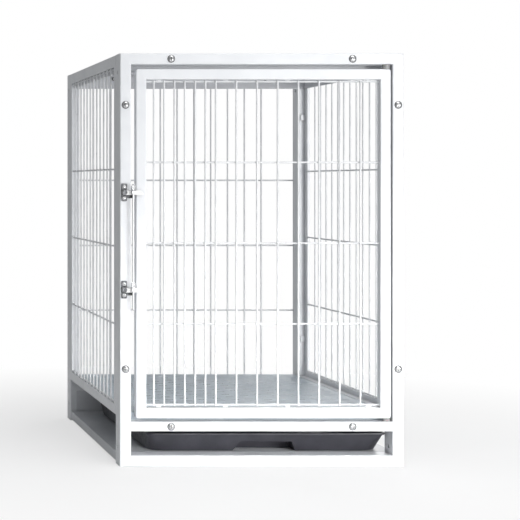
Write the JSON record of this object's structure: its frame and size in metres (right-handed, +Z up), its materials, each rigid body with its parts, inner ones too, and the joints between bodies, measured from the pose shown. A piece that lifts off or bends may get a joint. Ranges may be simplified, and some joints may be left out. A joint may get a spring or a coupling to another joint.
{
  "type": "kennel cage",
  "caption": "Modular kennel cage: tube frames, welded wire panels, side-hinged wire door with linked latches, lift-out floor grate and pull-out tray.",
  "frame": {"origin": "centre of the base, on the floor plane", "axes": "+Z up, -Y out of the door, +X to the right seen from the front"},
  "size_m": [0.61, 0.7319, 0.889],
  "materials": {
    "white_frame": "white powder coat",
    "white_wire": "white powder coat on wire",
    "grey_sheet": "light grey coated sheet",
    "steel": "bright steel",
    "zinc": "dull zinc plate",
    "rod": "bright coated rod",
    "rubber": "matte",
    "nylon": "natural nylon",
    "white_plastic": "moulded, semi-gloss",
    "grate_plastic": "moulded, fine texture",
    "tray_plastic": "moulded, fine texture"
  },
  "bodies": {
    "cage": {"front_frame": "white_frame", "back_frame": "white_frame", "back_wires": "white_wire", "right_panel_frame": "white_frame", "left_panel_frame": "white_frame", "right_panel_wires": "white_wire", "left_panel_wires": "white_wire", "roof_pan": "grey_sheet", "bottom_pan": "grey_sheet", "tray_stop": "grey_sheet", "grate_supports": "white_frame", "hinge_pins": "steel", "lower_latch_bracket": "zinc", "upper_latch_bracket": "zinc", "latch_pivots": "zinc", "rest_bumpers": "rubber", "door_stops": "white_frame", "stop_pads": "rubber", "front_screws": "steel", "back_screws": "steel", "latch_screws": "steel", "frame_nuts": "zinc"},
    "door": {"door_frame": "white_frame", "door_wires": "white_wire", "mesh_tabs": "white_wire", "hinge_bushes": "nylon"},
    "grate": {"floor_grate": "grate_plastic"},
    "tray": {"waste_tray": "tray_plastic"},
    "upper_lever": {"upper_latch_lever": "white_plastic"},
    "lower_lever": {"lower_latch_lever": "white_plastic"},
    "rod": {"link_rod": "rod", "rod_studs": "steel", "rod_clip": "steel"}
  },
  "joints": [
    {"name": "door_hinge", "type": "hinge", "parent": "cage", "child": "door", "pos_m": [0.269, -0.348, 0.4795], "axis": [0, 0, 1], "range_deg": [0, 105]},
    {"name": "tray_slide", "type": "slide", "parent": "cage", "child": "tray", "axis": [0, -1, 0], "range_m": [0, 0.61]},
    {"name": "grate_lift", "type": "slide", "parent": "cage", "child": "grate", "axis": [0, 0, 1], "range_m": [0, 0.25]},
    {"name": "upper_lever_pivot", "type": "hinge", "parent": "cage", "child": "upper_lever", "pos_m": [-0.2965, -0.362, 0.59], "axis": [0, -1, 0], "range_deg": [0, 65]},
    {"name": "lower_lever_pivot", "type": "hinge", "parent": "cage", "child": "lower_lever", "pos_m": [-0.2965, -0.362, 0.381], "axis": [0, -1, 0], "range_deg": [0, 65]},
    {"name": "rod_pivot", "type": "hinge", "parent": "upper_lever", "child": "rod", "pos_m": [-0.2792, -0.3691, 0.59], "axis": [0, -1, 0], "range_deg": [-65, 0]}
  ],
  "couplings": [
    {"joint": "lower_lever_pivot", "follows": "upper_lever_pivot", "ratio": 1},
    {"joint": "rod_pivot", "follows": "upper_lever_pivot", "ratio": -1}
  ]
}
